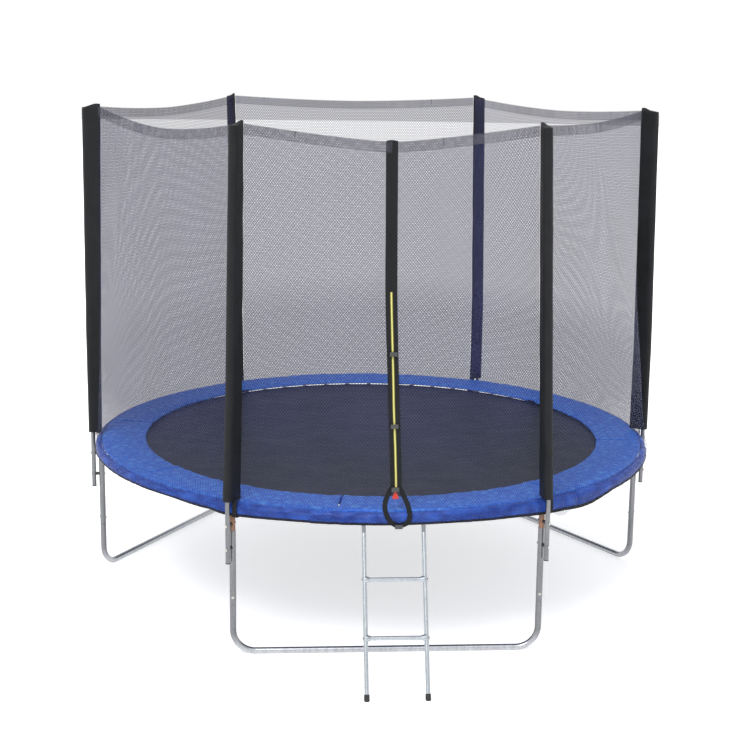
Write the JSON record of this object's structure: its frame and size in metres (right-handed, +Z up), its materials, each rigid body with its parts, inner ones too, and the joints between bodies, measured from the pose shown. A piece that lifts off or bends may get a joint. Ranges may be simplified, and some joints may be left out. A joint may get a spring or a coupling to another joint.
{
  "type": "trampoline",
  "caption": "Round garden trampoline with U-shaped legs, padded poles, a grey safety net with a zipped strip door, a blue spring pad and a hook-on ladder.",
  "frame": {"origin": "on the ground under the middle of the mat", "axes": "+Z up, -Y towards the net's zip and the ladder, +X to the right of someone facing the zip"},
  "size_m": [3.168, 3.4591, 2.6],
  "materials": {
    "galvanised_tube": "galvanised steel tube with a faint grain",
    "ladder_tube": "brighter galvanised tube",
    "welded_stub": "primer over a weld, with a trace of rust",
    "zinc_fastener": "zinc plate",
    "spring_wire": "galvanised spring wire",
    "black_plastic": "moulded, slightly glossy",
    "black_rubber": "matt rubber",
    "grey_foam": "closed-cell foam",
    "black_fabric": "woven polyester",
    "blue_cover": "coated tarpaulin, slightly glossy",
    "grey_net": "fine knitted polyethylene net",
    "mat_cloth": "woven polypropylene",
    "yellow_zip": "coil zip",
    "dark_zinc": "dark lacquered zinc",
    "red_plastic": "bright red plastic"
  },
  "bodies": {
    "frame": {"buckle_sockets": "black_plastic", "frame_nuts": "zinc_fastener", "frame_pad": "blue_cover", "leg_base_front": "galvanised_tube", "leg_base_left": "galvanised_tube", "leg_base_right": "galvanised_tube", "leg_screws": "zinc_fastener", "leg_sockets": "welded_stub", "leg_upright_back_left": "galvanised_tube", "leg_upright_back_right": "galvanised_tube", "leg_upright_front_left": "galvanised_tube", "leg_upright_front_right": "galvanised_tube", "leg_upright_left": "galvanised_tube", "leg_upright_right": "galvanised_tube", "net_panel_back": "grey_net", "net_panel_back_left": "grey_net", "net_panel_back_right": "grey_net", "net_panel_door_left": "grey_net", "net_panel_door_right": "grey_net", "net_panel_front_left": "grey_net", "net_panel_front_right": "grey_net", "net_skirt_front": "grey_net", "net_straps": "black_fabric", "pad_flap_front": "blue_cover", "pad_skirt": "blue_cover", "pole_back_left": "galvanised_tube", "pole_back_right": "galvanised_tube", "pole_bolts": "zinc_fastener", "pole_caps": "black_plastic", "pole_foams": "grey_foam", "pole_front_left": "galvanised_tube", "pole_front_right": "galvanised_tube", "pole_left": "galvanised_tube", "pole_right": "galvanised_tube", "pole_sleeves": "black_fabric", "pole_spacers": "black_plastic", "ring_tube_back_left": "galvanised_tube", "ring_tube_back_right": "galvanised_tube", "ring_tube_front_left": "galvanised_tube", "ring_tube_front_right": "galvanised_tube", "ring_tube_left": "galvanised_tube", "ring_tube_right": "galvanised_tube", "springs": "spring_wire", "zip_strip": "black_fabric", "zip_tape": "yellow_zip"},
    "jumping_mat": {"mat": "mat_cloth", "mat_border": "black_fabric", "mat_rings": "zinc_fastener"},
    "ladder": {"ladder_rail_left": "ladder_tube", "ladder_rail_right": "ladder_tube", "ladder_rungs": "ladder_tube", "ladder_bolts": "zinc_fastener", "ladder_hooks": "ladder_tube", "ladder_feet": "black_rubber"},
    "zip_slider": {"zip_slider": "dark_zinc"},
    "zip_pull": {"zip_pull": "red_plastic"},
    "clip_high": {"buckle_prong_high": "black_plastic"},
    "clip_middle": {"buckle_prong_middle": "black_plastic"},
    "clip_low": {"buckle_prong_low": "black_plastic"},
    "clip_hem": {"buckle_prong_hem": "black_plastic"}
  },
  "joints": [
    {"name": "mat_bounce", "type": "slide", "parent": "frame", "child": "jumping_mat", "axis": [0, 0, 1], "range_m": [-0.25, 0], "stiffness_N_per_m": 5000, "springref_m": 0.02, "deforming": ["springs"]},
    {"name": "ladder_swing", "type": "hinge", "parent": "frame", "child": "ladder", "pos_m": [0.01, -1.5083, 0.757], "axis": [-1, 0, 0], "range_deg": [0, 38], "deforming": ["pad_flap_front", "net_skirt_front"]},
    {"name": "zip_slide", "type": "slide", "parent": "frame", "child": "zip_slider", "axis": [-0.0171, 0.1374, 0.9904], "range_m": [0, 0.908]},
    {"name": "zip_pull_flip", "type": "hinge", "parent": "zip_slider", "child": "zip_pull", "pos_m": [0.01436, -1.54115, 0.89874], "axis": [-0.9999, -0.0023, -0.0169], "range_deg": [0, 52]},
    {"name": "clip_release_high", "type": "slide", "parent": "frame", "child": "clip_high", "axis": [0.9999, 0.0023, 0.0169], "range_m": [0, 0.024]},
    {"name": "clip_release_middle", "type": "slide", "parent": "frame", "child": "clip_middle", "axis": [0.9999, 0.0023, 0.0169], "range_m": [0, 0.024]},
    {"name": "clip_release_low", "type": "slide", "parent": "frame", "child": "clip_low", "axis": [0.9999, 0.0023, 0.0169], "range_m": [0, 0.024]},
    {"name": "clip_release_hem", "type": "slide", "parent": "frame", "child": "clip_hem", "axis": [1, 0, 0], "range_m": [0, 0.024]}
  ]
}
